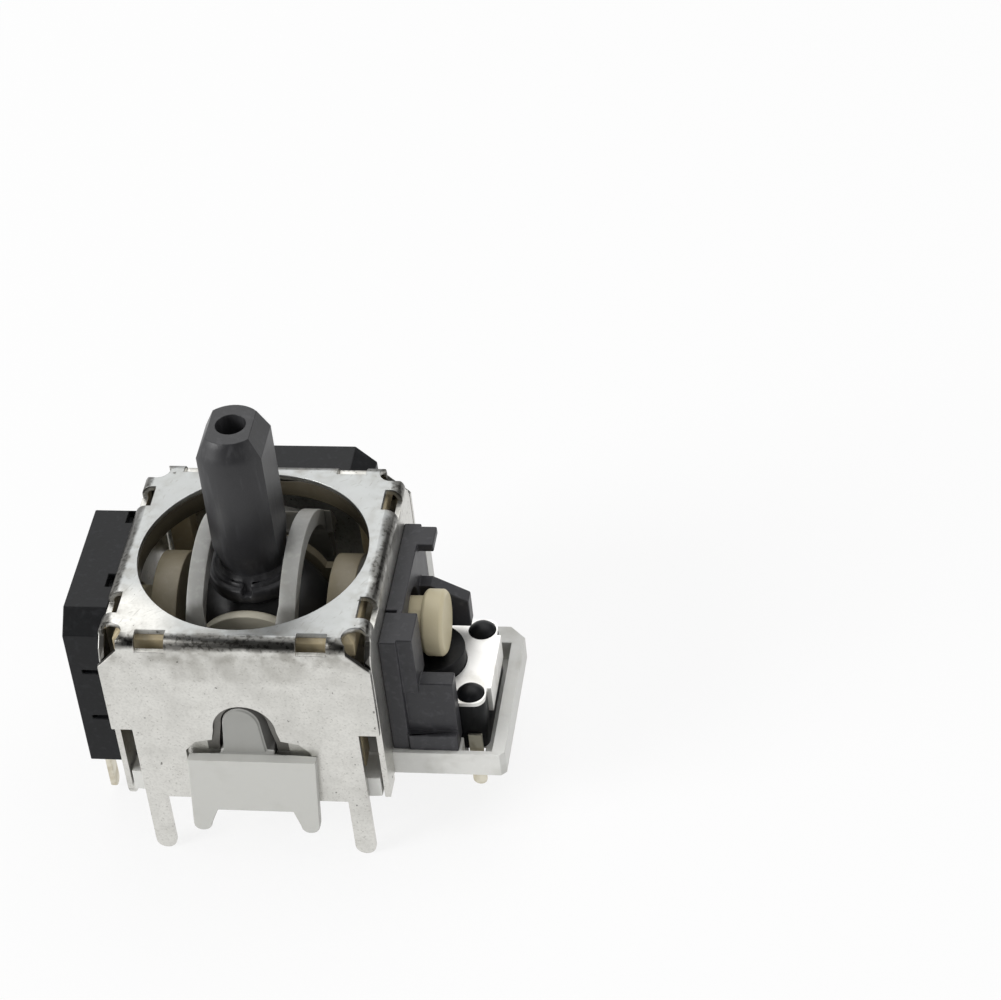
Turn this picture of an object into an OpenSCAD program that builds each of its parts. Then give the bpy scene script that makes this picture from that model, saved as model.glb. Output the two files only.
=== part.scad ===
// Two-axis analog stick module with a push switch under one end of its cross shaft.
// The origin is the centre of the square frame on the underside of the base.
// X points to the push switch, Y to the rear potentiometer and Z up along the lever.

/* [Frame] */
// Outside width of the square steel frame
frame_w = 13.2; // [13.1:0.05:13.4]
// Height of the frame's top face over the base's underside
frame_top = 10.45; // [10.35:0.05:10.7]
// Thickness of the steel sheet
sheet_t = 0.3; // [0.25:0.01:0.32]
// Outside radius of the four bends
bend_r = 0.6; // [0.5:0.05:0.7]
// Narrowest width of the top, between its round hole and a wall's face
top_rim = 0.95; // [0.9:0.05:1.1]
// Height and width of the chamfer at the walls' upper corners
corner_chamfer = 1.07; // [0.9:0.01:1.2]
// Radius of the relief hole at each corner of the top
relief_r = 0.62; // [0.5:0.01:0.7]
// Width of the windows cut across the bends
window_w = 1.45; // [1.2:0.05:1.6]
// Distance of each window from the middle of its side
window_offset = 3.9; // [3.7:0.05:4]
// Depth of a window down the wall
window_drop = 0.72; // [0.65:0.01:0.8]
// Height at which the front and rear walls step in
wall_step_z = 4.54; // [4.2:0.02:4.8]
// Width of the front and rear walls under the step
lower_wall_w = 11.14; // [11.1:0.02:11.4]
// Distance between the middles of the two solder legs
leg_pitch = 10.1; // [9.9:0.05:10.1]
// Width of a solder leg
leg_w = 1.04; // [0.9:0.02:1.1]
// How far the solder legs reach under the base
leg_reach = 3.6; // [3.4:0.1:4]
// Width of the folded feet at the front ends of the side walls
foot_w = 1.4; // [1.2:0.05:1.5]
// How far those feet reach under the base
foot_reach = 0.6; // [0.4:0.05:0.9]
// How far the panel round the tongue is set in
joggle_depth = 0.22; // [0.15:0.01:0.28]

/* [Base] */
// Thickness of the floor inside the frame
floor_t = 1.3; // [1.2:0.05:1.4]
// Distance from the middle to the tray's outer edge
tray_reach = 12.1; // [12:0.05:12.4]
// Width of the switch tray
tray_w = 9.2; // [9.1:0.05:9.3]
// Height of the switch tray
tray_h = 1.5; // [1.45:0.05:1.6]
// Width of the clip block on the front
clip_w = 6.15; // [6:0.05:6.2]
// Height of the clip block
clip_h = 3.5; // [3.4:0.05:3.6]
// How far the clip block stands out from the front wall
clip_out = 0.5; // [0.45:0.05:0.6]
// How far the clip block's two pegs reach under the base
peg_reach = 1.35; // [1.2:0.05:1.5]
// Width of the tongue that stands in the front wall's arch
tongue_w = 2.6; // [2.5:0.05:2.7]
// Height of the tongue's round top
tongue_top = 6.3; // [6.2:0.05:6.35]
// Inner radius of the spring well
well_r = 3.5; // [3.45:0.05:3.6]
// Wall of the spring well
well_wall = 0.6; // [0.5:0.05:0.7]
// Height of the spring well's rim
well_top = 2.6; // [2.5:0.05:2.65]
// Floor thickness under the spring
well_floor = 0.5; // [0.4:0.05:0.6]

/* [Lever] */
// Height of the two tilt axes
pivot_z = 5.95; // [5.9:0.01:6]
// Height of the lever's tip
lever_top = 18.3; // [17.5:0.1:19]
// Diameter of the lever's upper part
lever_d = 4.0; // [3.8:0.05:4.1]
// Distance between the two flats
lever_flats = 3.14; // [3.06:0.01:3.16]
// Diameter of the neck over the collar
neck_d = 3.2; // [3.16:0.01:3.3]
// Height at which the neck starts to widen
neck_top = 10.3; // [10.2:0.05:10.6]
// Height over which the neck widens
neck_blend = 1.4; // [1.2:0.05:1.5]
// Height of the chamfer round the tip
tip_chamfer_h = 1.05; // [0.9:0.05:1.2]
// Width of the chamfer round the tip
tip_chamfer_w = 0.52; // [0.4:0.02:0.6]
// Diameter of the blind bore in the tip
tip_bore_d = 1.46; // [1.35:0.01:1.55]
// Depth of that bore
tip_bore_depth = 4.0; // [3.5:0.1:4.5]
// Radius of the domed hub
hub_r = 3.55; // [3.5:0.01:3.58]
// Distance between the hub's two side faces
hub_w = 5.0; // [4.9:0.02:5.04]
// Diameter of the collar at the foot of the neck
collar_d = 4.1; // [4:0.02:4.14]
// Height of the collar's top over the tilt axes
collar_up = 4.0; // [3.92:0.01:4.02]
// Height of the collar
collar_h = 0.6; // [0.5:0.05:0.7]
// Diameter of the lever's foot
foot_d = 3.2; // [3:0.05:3.3]
// Depth of the foot under the tilt axes
foot_drop = 3.15; // [3.1:0.01:3.2]
// Diameter of the pin that carries the lever
pin_d = 1.0; // [0.9:0.02:1.1]

/* [Cross shaft] */
// Radius of the two drums
drum_r = 3.3; // [3.25:0.01:3.35]
// Distance from the middle to each drum's inner face
drum_in = 3.7; // [3.67:0.01:3.75]
// Distance from the middle to each drum's outer face
drum_out = 5.0; // [4.9:0.02:5.02]
// Thickness of the two cheeks that hold the pin
cheek_t = 0.5; // [0.45:0.01:0.52]
// Radius of the cheeks' round top
cheek_r = 2.95; // [2.8:0.01:3]
// Diameter of the arm that goes through the right wall
arm_d = 2.6; // [2.5:0.02:2.7]
// Diameter of the arm on the left
left_arm_d = 3.1; // [3:0.02:3.2]
// Diameter of the round end that presses the switch
disc_d = 3.3; // [3.26:0.01:3.34]
// Thickness of that end
disc_t = 1.1; // [1:0.02:1.2]
// Gap from the right wall's face to that end
disc_gap = 1.4; // [1.35:0.01:1.45]

/* [Upper yoke] */
// Outside radius of the arch
arch_r = 5.45; // [5.42:0.01:5.48]
// Thickness of the arch
arch_t = 0.8; // [0.74:0.01:0.82]
// Width of the slot in its middle
slot_w = 3.7; // [3.66:0.01:3.72]
// Width of each rail beside the slot
rail_w = 0.82; // [0.8:0.01:0.85]
// Length of the slot, seen from above
slot_len = 8.8; // [8.6:0.1:9]
// Width of the arch behind the slot
back_w = 6.0; // [5.8:0.05:6]
// Diameter of the two trunnions
trunnion_d = 2.6; // [2.5:0.02:2.7]

/* [Centring plate and spring] */
// Thickness of the centring plate
plate_t = 0.6; // [0.55:0.01:0.62]
// Diameter of the spigot under the plate
spigot_d = 3.6; // [3.4:0.05:3.8]
// Length of that spigot
spigot_len = 0.6; // [0.5:0.02:0.65]
// Mean diameter of the coil spring
spring_d = 4.8; // [4.6:0.05:5]
// Diameter of the spring's wire
wire_d = 0.32; // [0.28:0.01:0.34]
// Number of turns
spring_turns = 3; // [2:1:3]

/* [Potentiometers] */
// Width of a potentiometer housing
pot_w = 9.1; // [9:0.05:9.2]
// Thickness of a housing, from the frame's wall outwards
pot_t = 2.2; // [2.18:0.01:2.26]
// Height of a housing's bottom face
pot_bottom = 0.35; // [0.3:0.05:0.4]
// Height of a housing's top face
pot_top = 9.75; // [9.7:0.05:9.8]
// Chamfer of a housing's two upper corners
pot_chamfer = 1.0; // [0.9:0.05:1.1]
// Thickness of the track board
board_t = 0.3; // [0.28:0.01:0.32]
// Radius of the rotor's flange
rotor_flange_r = 3.1; // [3:0.01:3.15]
// Radius of the rotor's visible face
rotor_face_r = 2.75; // [2.7:0.01:2.8]
// Length of each bar of the cross recess
cross_len = 2.3; // [2.1:0.05:2.5]
// Width of each bar of the cross recess
cross_w = 0.62; // [0.55:0.01:0.7]
// Distance between neighbouring terminals
terminal_pitch = 2.5; // [2.4:0.05:2.6]
// Width of a terminal
terminal_w = 0.75; // [0.7:0.01:0.8]
// Thickness of a terminal
terminal_t = 0.3; // [0.25:0.01:0.32]
// How far the terminals reach under the base
terminal_reach = 3.4; // [3.2:0.1:3.5]
// Diameter of the keyed tails that turn the rotors
tail_d = 2.0; // [1.9:0.01:2.05]
// Distance between a tail's two flats
tail_flats = 1.4; // [1.3:0.01:1.5]

/* [Push switch] */
// Width of the square switch
switch_w = 6.0; // [5.95:0.01:6]
// Gap from the right wall's face to the switch's middle
switch_offset = 1.45; // [1.4:0.01:1.5]
// Height of the switch's underside
switch_bottom = 0.35; // [0.32:0.01:0.4]
// Height of the cover's top face
switch_top = 3.4; // [3.35:0.01:3.42]
// Thickness of the cover
cover_t = 0.22; // [0.18:0.01:0.25]
// Diameter of the four corner posts
post_d = 1.3; // [1.2:0.02:1.34]
// Distance between neighbouring posts
post_pitch = 4.5; // [4.4:0.05:4.5]
// Height of the posts over the cover
post_up = 0.4; // [0.35:0.01:0.42]
// Diameter of the plunger
plunger_d = 3.5; // [3.4:0.02:3.5]
// How far the plunger moves when it is pressed
push_travel = 0.25; // [0.2:0.01:0.26]
// How far the switch's pins reach under the base
switch_pin_reach = 2.0; // [1.8:0.05:2.2]
// Width of the switch's pins
switch_pin_w = 0.7; // [0.6:0.05:0.75]
// Thickness of the switch's pins
switch_pin_t = 0.15; // [0.12:0.01:0.18]

/* [Switch bracket] */
// Thickness of the bracket's plate on the wall
bracket_t = 0.85; // [0.8:0.01:0.88]
// Width of the bracket
bracket_w = 8.7; // [8.6:0.02:8.7]
// Height of the bracket's top face
bracket_top = 8.55; // [8.4:0.05:8.7]
// How far the two upper blocks stand out from the wall
block_out = 1.6; // [1.5:0.02:1.65]
// How far the two guards stand out from the wall
guard_out = 3.25; // [3.1:0.02:3.28]
// Height of the front guard's top edge
front_guard_top = 5.6; // [5.4:0.05:5.8]
// Height of the rear guard where it meets the plate
rear_guard_top = 6.6; // [6.5:0.05:6.8]
// Thickness of the rear guard
rear_guard_t = 0.8; // [0.7:0.02:0.9]
// Width of the base's post behind the bracket
back_post_w = 1.2; // [1:0.05:1.3]
// Thickness of that post, from the right wall outwards
back_post_t = 0.8; // [0.7:0.05:0.85]

/* [Fits] */
// Radial play of turning fits
run_gap = 0.05; // [0.04:0.005:0.06]
// Play of pieces that are laid or slid into place
lay_gap = 0.1; // [0.08:0.01:0.11]
// Play between pieces that swing past each other
swing_gap = 0.15; // [0.13:0.01:0.16]

/* [Hidden] */
$fn = 64;
cut = 0.02;

wall = frame_w / 2;
inner = wall - sheet_t;
frame_under = frame_top - sheet_t;
top_hole_d = frame_w - 2 * top_rim;
base_half = inner - lay_gap;
ring_half = wall - bend_r - 0.15;
ring_hole_r = top_hole_d / 2 + run_gap;
ring_t = 1.05;
corner_post_w = 1.1;
corner_post_at = 4.85;
relief_at = wall - bend_r - 0.05;
clip_at = 0.3;
tongue_out = 0.3;
leg_x = leg_pitch / 2;
trunnion_end = inner - joggle_depth - lay_gap;

arch_in = arch_r - arch_t;
slot_half = slot_w / 2;
rail_out = slot_half + rail_w;
cheek_in = hub_w / 2 + lay_gap;
cheek_out = cheek_in + cheek_t;
cheek_under = 1.3;
left_arm_end = wall - lay_gap;

disc_x = wall + disc_gap;
switch_x = wall + switch_offset;
plunger_top = pivot_z - disc_d / 2 - run_gap;
cover_under = switch_top - cover_t;
switch_half = switch_w / 2;
post_at = post_pitch / 2;
pin_at = post_at + 0.15;
switch_corner_r = 0.55;
well_in_r = plunger_d / 2 + swing_gap + run_gap;

plate_top = pivot_z - foot_drop - run_gap;
plate_under = plate_top - plate_t;
plate_r = well_r - lay_gap;

pot_face = wall + pot_t;
board_face_y = wall + board_t;
cavity_r = rotor_flange_r + swing_gap;
cavity_end = pot_face - 0.72;
wiper_t = 0.2;
wiper_start = board_face_y + swing_gap + run_gap;
flange_start = wiper_start + wiper_t;
flange_end = cavity_end - lay_gap;
rotor_face = pot_face - 0.2;
tail_end = rotor_face - 0.85;
tail_start = wall - lay_gap;
terminal_y = pot_face - run_gap - terminal_t;
terminal_bar_z = 1.3;
board_low = 0.9;
board_half = 3.55;
pad_t = 0.1;
pad_left = 5.6;
pad_right = switch_x - switch_half - 0.15;
dome_rise = 0.45;
flange_t = 0.45;
stub_len = 0.35;
stub_low = cover_under - run_gap - flange_t - stub_len;
dome_floor = stub_low - 0.02 - dome_rise;

bracket_face = wall + bracket_t;
bracket_half = bracket_w / 2;
arm_hole_r = arm_d / 2 + push_travel + swing_gap;
guard_in = switch_half + lay_gap;
guard_depth = 0.9;

steel = "#B9B8B2";
beige = "#C6BC9C";
light_grey = "#D3D3CF";
dark_grey = "#4C4C50";
black = "#2E2E32";
milky = "#E4E2DA";
brass = "#B89A5C";
pale_tin = "#CFCBBE";

// Shared helpers

module along_y(from, to) {
    translate([0, to, 0]) rotate([90, 0, 0]) linear_extrude(to - from) children();
}

module along_x(from, to) {
    translate([from, 0, 0]) rotate([90, 0, 90]) linear_extrude(to - from) children();
}

module rod_y(from, to, r) {
    translate([0, from, pivot_z]) rotate([-90, 0, 0]) cylinder(h = to - from, r = r);
}

module rod_x(from, to, r) {
    translate([from, 0, pivot_z]) rotate([0, 90, 0]) cylinder(h = to - from, r = r);
}

module block(low, high) {
    translate(low) cube(high - low);
}

// Round key with two flats, standing on the local Z axis
module keyed_rod(h, d, flats) {
    intersection() {
        cylinder(h = h, d = d);
        translate([-flats / 2, -d, 0]) cube([flats, 2 * d, h]);
    }
}

// Keyed end that turns a rotor, built at the rear wall
module rotor_tail() {
    translate([0, tail_start - cut, pivot_z]) rotate([-90, 0, 0])
        keyed_rod(tail_end - tail_start + cut, tail_d, tail_flats);
}

// Turns what is built at the rear wall, on +Y, to the left wall, on -X
module at_left() {
    rotate([0, 0, 90]) children();
}

// Steel frame

module bent_outline(half, top, r) {
    translate([-half, 0]) square([2 * half, top - r]);
    translate([-half + r, 0]) square([2 * (half - r), top]);
    for (side = [-1, 1]) translate([side * (half - r), top - r]) circle(r = r);
}

module bent_box(half, top, r) {
    intersection() {
        along_y(-half, half) bent_outline(half, top, r);
        along_x(-half, half) bent_outline(half, top, r);
    }
}

// Outline of the chamfer at one upper corner of a wall, open to the outside
module corner_outline() {
    edge = wall - corner_chamfer;
    low = frame_top - bend_r - lay_gap - corner_chamfer;
    polygon([[edge, low + corner_chamfer], [wall + 1, low - 1],
        [wall + 1, frame_top + 1], [edge, frame_top + 1]]);
}

// Arch in the front wall that the tongue stands in, widened by a play
module tongue_outline(play) {
    top_r = tongue_w / 2 - 0.2 + play;
    shoulder_z = tongue_top - top_r + play;
    wide = tongue_w / 2 + play;
    translate([0, shoulder_z]) circle(r = top_r);
    polygon([[-wide, 0], [wide, 0], [wide, shoulder_z - 1.6], [top_r, shoulder_z],
        [-top_r, shoulder_z], [-wide, shoulder_z - 1.6]]);
}

// Bell-shaped panel round the arch that is set in from the front wall
module joggle_outline() {
    half = clip_w / 2;
    shoulder_z = tongue_top - 1.34;
    translate([0, shoulder_z]) circle(r = 1.6);
    polygon([[-half, 1], [half, 1], [half, shoulder_z - 1.7], [half - 0.55, shoulder_z - 1.15],
        [1.75, shoulder_z - 0.65], [1.6, shoulder_z], [-1.6, shoulder_z], [-1.75, shoulder_z - 0.65],
        [-half + 0.55, shoulder_z - 1.15], [-half, shoulder_z - 1.7]]);
}

module solder_leg(x) {
    translate([x, 0]) {
        translate([-leg_w / 2, -leg_reach + leg_w / 2]) square([leg_w, leg_reach]);
        translate([0, -leg_reach + leg_w / 2]) circle(d = leg_w);
    }
}

module folded_foot(side) {
    seam = inner - lay_gap - run_gap;
    x = side > 0 ? inner : -wall;
    // The right foot ends level with the base, so that the tray can pass
    low = side > 0 ? pad_t : -foot_reach;
    along_x(x, x + sheet_t) {
        translate([-seam, low + foot_w / 2]) square([foot_w, 2]);
        translate([-seam + foot_w / 2, low + foot_w / 2]) circle(d = foot_w);
    }
}

// Openings of the right wall: the tray below, the switch and the shaft's arm above
module right_wall_opening() {
    half = tray_w / 2 + lay_gap / 2;
    sides = switch_half + 3 * lay_gap;
    block([inner - cut, -half, -cut], [wall + cut, half, tray_h + lay_gap]);
    block([inner - cut, -sides, 0], [wall + cut, sides, switch_top + post_up + 3 * lay_gap]);
    block([inner - cut, -arm_hole_r, 0], [wall + cut, arm_hole_r, pivot_z]);
    rod_x(inner - cut, wall + cut, arm_hole_r);
}

module frame() {
    wall_low = 0.3;
    color(steel) {
        difference() {
            bent_box(wall, frame_top, bend_r);
            translate([0, 0, -cut]) bent_box(inner, frame_under + cut, bend_r - sheet_t);
            cylinder(h = frame_top + 1, d = top_hole_d);
            for (turn = [0:3]) rotate([0, 0, 90 * turn]) {
                for (side = [-1, 1]) {
                    translate([side * window_offset - window_w / 2, -wall - cut, frame_top - window_drop])
                        cube([window_w, wall - top_hole_d / 2 - 0.15 + cut, window_drop + cut]);
                    scale_side = side > 0 ? 0 : 1;
                    mirror([scale_side, 0, 0]) along_y(-wall - cut, -wall + bend_r + cut) corner_outline();
                }
                translate([relief_at, -relief_at, frame_top - bend_r]) cylinder(h = 3, r = relief_r);
            }
            // Seams between the side walls and the front and rear walls
            for (x = [-1, 1]) for (y = [-1, 1])
                translate([x * (wall + inner) / 2, y * (inner - lay_gap / 2), frame_top / 2 - 1])
                    cube([sheet_t + 2 * cut, lay_gap + run_gap, frame_top], center = true);
            // Front and rear walls step in, and the rear and side walls end over the board
            for (x = [-1, 1]) for (y = [-1, 1])
                translate([x * (lower_wall_w / 2 + 1), y * (wall + inner) / 2, wall_step_z - 5])
                    cube([2, sheet_t + 2 * cut, 10], center = true);
            block([-wall + 1, inner - cut, -cut], [wall - 1, wall + cut, wall_low]);
            for (x = [-wall, inner])
                block([x - cut, -inner + foot_w, -cut], [x + sheet_t + cut, inner, wall_low]);
            along_y(-wall - cut, -inner + cut) joggle_outline();
            along_y(-wall - cut, -inner + cut) tongue_outline(lay_gap);
            right_wall_opening();
            rod_x(-wall - cut, -inner + cut, left_arm_d / 2 + swing_gap);
            rod_y(inner - cut, wall + cut, trunnion_d / 2 + swing_gap);
        }
        // Panel that is set in round the arch
        difference() {
            along_y(-wall + joggle_depth, -inner + joggle_depth) offset_panel();
            along_y(-wall, -inner + 1) tongue_outline(lay_gap);
        }
        along_y(-wall, -inner) for (side = [-1, 1]) solder_leg(side * leg_x);
        for (side = [-1, 1]) folded_foot(side);
    }
}

// The set-in panel's outline, a little wider than the opening that it closes
module offset_panel() {
    half = clip_w / 2 + 0.2;
    shoulder_z = tongue_top - 1.34;
    translate([0, shoulder_z]) circle(r = 1.8);
    polygon([[-half, 0.8], [half, 0.8], [half, shoulder_z - 1.5], [half - 0.55, shoulder_z - 0.95],
        [1.95, shoulder_z - 0.45], [1.8, shoulder_z], [-1.8, shoulder_z], [-1.95, shoulder_z - 0.45],
        [-half + 0.55, shoulder_z - 0.95], [-half, shoulder_z - 1.5]]);
}

// Moulded base

module saddle(from, to, half, r) {
    difference() {
        along_y(from, to) translate([-half, floor_t - 0.2]) square([2 * half, pivot_z - floor_t + 0.2]);
        rod_y(from - cut, to + cut, r);
    }
}

module clip_block() {
    peg_w = 0.9;
    peg_flare = 0.35;
    half = clip_w / 2;
    along_y(-wall - clip_out, -wall) translate([clip_at, 0]) {
        translate([-half, pad_t]) square([clip_w, clip_h - pad_t]);
        for (turn = [0, 1]) mirror([turn, 0]) translate([half - peg_w / 2, 0]) {
            translate([0, -peg_reach + peg_w / 2]) circle(d = peg_w);
            polygon([[peg_w / 2, pad_t + cut], [-peg_w / 2 - peg_flare, pad_t + cut],
                [-peg_w / 2, -peg_reach + peg_w / 2], [peg_w / 2, -peg_reach + peg_w / 2]]);
        }
    }
    difference() {
        along_y(-wall - tongue_out, -trunnion_end + cut) intersection() {
            tongue_outline(0);
            translate([-clip_w, pad_t]) square([2 * clip_w, frame_top]);
        }
        rod_y(-trunnion_end - run_gap, 0, trunnion_d / 2 + run_gap);
    }
}

module tray() {
    pocket_half = switch_half + 0.4;
    pocket_end = switch_x + switch_half + 4 * lay_gap;
    pin_pocket = tray_w / 2 - 0.3;
    edge_cut = 0.8;
    small_cut = 0.25;
    difference() {
        translate([0, 0, pad_t]) linear_extrude(tray_h - pad_t) polygon([[base_half - 1, -tray_w / 2],
            [tray_reach - small_cut, -tray_w / 2], [tray_reach, -tray_w / 2 + small_cut],
            [tray_reach, tray_w / 2 - edge_cut], [tray_reach - edge_cut, tray_w / 2],
            [base_half - 1, tray_w / 2]]);
        block([0, -pocket_half, switch_bottom], [pocket_end, pocket_half, tray_h + 1]);
        // Open corner at the front, beside the bracket's guard, that shows one pin
        block([wall + guard_out + lay_gap, -pin_pocket, switch_bottom], [pocket_end, 0, tray_h + 1]);
    }
}

module underside_marks() {
    groove_d = 0.12;
    gate_x = 2.3;
    // Gate boss's ring, its runner to the tray and the tray's shallow grooves
    translate([gate_x, 0, -cut]) difference() {
        cylinder(h = groove_d + cut, r = 1.4);
        translate([0, 0, -1]) cylinder(h = 3, r = 0.85);
    }
    block([gate_x + 1.3, -0.25, -cut], [switch_x - 1.6, 0.25, pad_t + groove_d]);
    for (y = [-2.7, -1.8, 1.8, 2.7])
        block([wall, y - 0.18, -cut], [tray_reach - 1, y + 0.18, pad_t + groove_d]);
    for (x = [-1, 1]) for (y = [-1, 1])
        translate([x * 4.3, y * 4.3, -cut]) cylinder(h = groove_d + cut, r = 0.7);
}

module switch_pin_holes() {
    hole_w = switch_pin_w + 3 * run_gap;
    hole_t = switch_pin_t + 5 * run_gap;
    for (x = [-1, 1]) for (y = [-1, 1])
        translate([switch_x + x * pin_at, y * (switch_half + switch_pin_t / 2), 0])
            cube([hole_w, hole_t, 2 * tray_h], center = true);
}

// Post behind the bracket's rear edge, on a foot that joins it to the tray
module back_post() {
    near = wall + lay_gap / 2;
    far = near + back_post_t;
    start = bracket_half + lay_gap;
    post_rise = 0.7;
    block([near, start, 0], [far, start + back_post_w, pivot_z + post_rise]);
    block([near, tray_w / 2 - back_post_w / 2, 0], [far, start + back_post_w, tray_h]);
}

module base() {
    saddle_half = trunnion_d / 2 + 0.7;
    left_half = left_arm_d / 2 + 0.45;
    pad_half = base_half - 0.2;
    relief_half = clip_w / 2 + 0.3;
    relief_low = 0.7;
    pocket_half = switch_half + 0.4;
    color(light_grey) {
        clip_block();
        difference() {
            union() {
                block([-base_half, -base_half, pad_t], [base_half, base_half, floor_t]);
                block([-pad_left, -pad_half, 0], [pad_right, pad_half, floor_t]);
                cylinder(h = well_top, r = well_r + well_wall);
                saddle(-trunnion_end, -arch_r - swing_gap, saddle_half, trunnion_d / 2 + run_gap);
                saddle(arch_r + swing_gap, base_half, saddle_half, trunnion_d / 2 + run_gap);
                at_left() saddle(drum_out + swing_gap, base_half, left_half, left_arm_d / 2 + run_gap);
                tray();
                back_post();
            }
            // Room for the front wall's set-in panel
            block([-relief_half, -base_half - cut, relief_low], [relief_half, -trunnion_end, floor_t + cut]);
            translate([0, 0, well_floor]) cylinder(h = well_top, r = well_r);
            underside_marks();
            switch_pin_holes();
            // Room for the switch inside the frame
            block([switch_x - switch_half - lay_gap, -pocket_half, switch_bottom],
                [wall, pocket_half, well_top + 1]);
        }
    }
}

// Beige ring with its four corner posts, which stand on the floor

module ring_outline() {
    low = frame_under - ring_t;
    edge = 0.3;
    polygon([[-ring_half, low], [ring_half, low], [ring_half, frame_under - edge],
        [ring_half - edge, frame_under], [-ring_half + edge, frame_under], [-ring_half, frame_under - edge]]);
}

module bearing_ring() {
    post_h = frame_under - ring_t / 2 - floor_t;
    color(beige) {
        difference() {
            intersection() {
                along_y(-ring_half, ring_half) ring_outline();
                along_x(-ring_half, ring_half) ring_outline();
            }
            cylinder(h = frame_top + 1, r = ring_hole_r);
        }
        for (x = [-1, 1]) for (y = [-1, 1])
            translate([x * corner_post_at, y * corner_post_at, floor_t + post_h / 2])
                cube([corner_post_w, corner_post_w, post_h], center = true);
    }
}

// Lever

module lever_profile() {
    r = lever_d / 2;
    collar_r = collar_d / 2;
    core_r = collar_r - 0.3;
    edge = 0.12;
    collar_top = pivot_z + collar_up;
    collar_low = collar_top - collar_h;
    polygon([[0, pivot_z - 1], [core_r, pivot_z - 1], [core_r, collar_low - 0.25], [collar_r, collar_low],
        [collar_r, collar_top - edge], [collar_r - edge, collar_top], [neck_d / 2, collar_top],
        [neck_d / 2, neck_top], [r, neck_top + neck_blend], [r, lever_top - tip_chamfer_h],
        [r - tip_chamfer_w, lever_top], [0, lever_top]]);
}

module lever_flats_outline() {
    half = lever_flats / 2;
    low = pivot_z + collar_up;
    polygon([[-4, 0], [4, 0], [4, low], [half, low], [half, lever_top - tip_chamfer_h],
        [half - tip_chamfer_w, lever_top], [-half + tip_chamfer_w, lever_top],
        [-half, lever_top - tip_chamfer_h], [-half, low], [-4, low]]);
}

module lever() {
    notch_half = 0.2;
    notch_deep = 0.45;
    collar_top = pivot_z + collar_up;
    color(dark_grey) difference() {
        union() {
            intersection() {
                rotate_extrude() lever_profile();
                along_y(-4, 4) lever_flats_outline();
            }
            intersection() {
                translate([0, 0, pivot_z]) sphere(r = hub_r);
                block([-4, -hub_w / 2, pivot_z - 2], [4, hub_w / 2, frame_top]);
            }
            // Foot that is round about the tilt centre
            intersection() {
                translate([0, 0, pivot_z]) sphere(r = foot_drop);
                translate([0, 0, pivot_z - foot_drop - 1]) cylinder(h = foot_drop + 1, d = foot_d);
            }
        }
        translate([0, 0, lever_top - tip_bore_depth]) cylinder(h = tip_bore_depth + cut, d = tip_bore_d);
        rod_y(-hub_w, hub_w, pin_d / 2 + run_gap);
        // Notch in the front of the collar
        block([-notch_half, -collar_d, collar_top - notch_deep], [notch_half, -neck_d / 2, collar_top + cut]);
    }
}

module lever_pin() {
    color(steel) rod_y(-cheek_out, cheek_out, pin_d / 2);
}

// Cross shaft

module drum(from, to) {
    along_x(from, to) intersection() {
        translate([0, pivot_z]) circle(r = drum_r);
        translate([-drum_r, pivot_z - 1.55]) square([2 * drum_r, drum_r + 1.55]);
    }
}

module cheek(from, to) {
    along_y(from, to) {
        intersection() {
            translate([0, pivot_z]) circle(r = cheek_r);
            translate([-cheek_r, pivot_z - cheek_under]) square([2 * cheek_r, cheek_r + cheek_under]);
        }
        translate([-drum_in - cut, pivot_z - 1.1]) square([2 * (drum_in + cut), 2.2]);
    }
}

module coin_end() {
    rim = 0.16;
    translate([disc_x, 0, pivot_z]) rotate([0, 90, 0]) rotate_extrude()
        polygon([[0, 0], [disc_d / 2 - rim, 0], [disc_d / 2, rim], [disc_d / 2, disc_t - rim],
            [disc_d / 2 - rim, disc_t], [0, disc_t]]);
}

module cross_shaft() {
    color(beige) difference() {
        union() {
            drum(drum_in, drum_out);
            drum(-drum_out, -drum_in);
            cheek(-cheek_out, -cheek_in);
            cheek(cheek_in, cheek_out);
            rod_x(drum_out - cut, disc_x + cut, arm_d / 2);
            coin_end();
            rod_x(-left_arm_end, -drum_out + cut, left_arm_d / 2);
            at_left() rotor_tail();
        }
        rod_y(-cheek_out - cut, cheek_out + cut, pin_d / 2);
    }
}

// Upper yoke

module arch_outline(outer, inside) {
    difference() {
        translate([0, pivot_z]) circle(r = outer);
        translate([0, pivot_z]) circle(r = inside);
        translate([-outer - 1, pivot_z - 2 * outer]) square([2 * outer + 2, 2 * outer]);
    }
}

// The slot narrows towards both ends
module slot_outline() {
    end_half = slot_half - 0.2;
    end = slot_len / 2;
    wide = end - 0.9;
    polygon([[-slot_half, -wide], [-end_half, -end], [end_half, -end], [slot_half, -wide],
        [slot_half, wide], [end_half, end], [-end_half, end], [-slot_half, wide]]);
}

module upper_yoke() {
    color(milky) {
        difference() {
            union() {
                along_x(-rail_out, rail_out) arch_outline(arch_r, arch_in);
                intersection() {
                    along_x(-back_w / 2, back_w / 2) arch_outline(arch_r, arch_in);
                    block([-back_w, slot_len / 2 - 0.3, pivot_z + 2], [back_w, arch_r, frame_top + 2]);
                }
            }
            translate([0, 0, pivot_z + 2]) linear_extrude(frame_top) slot_outline();
        }
        for (side = [-1, 1]) {
            from = side > 0 ? arch_in : -arch_r;
            rod_y(from, from + arch_t, rail_out);
        }
        rod_y(-trunnion_end, -arch_r + cut, trunnion_d / 2);
        rod_y(arch_r - cut, tail_start, trunnion_d / 2);
        rotor_tail();
    }
}

// Centring plate and spring

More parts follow.
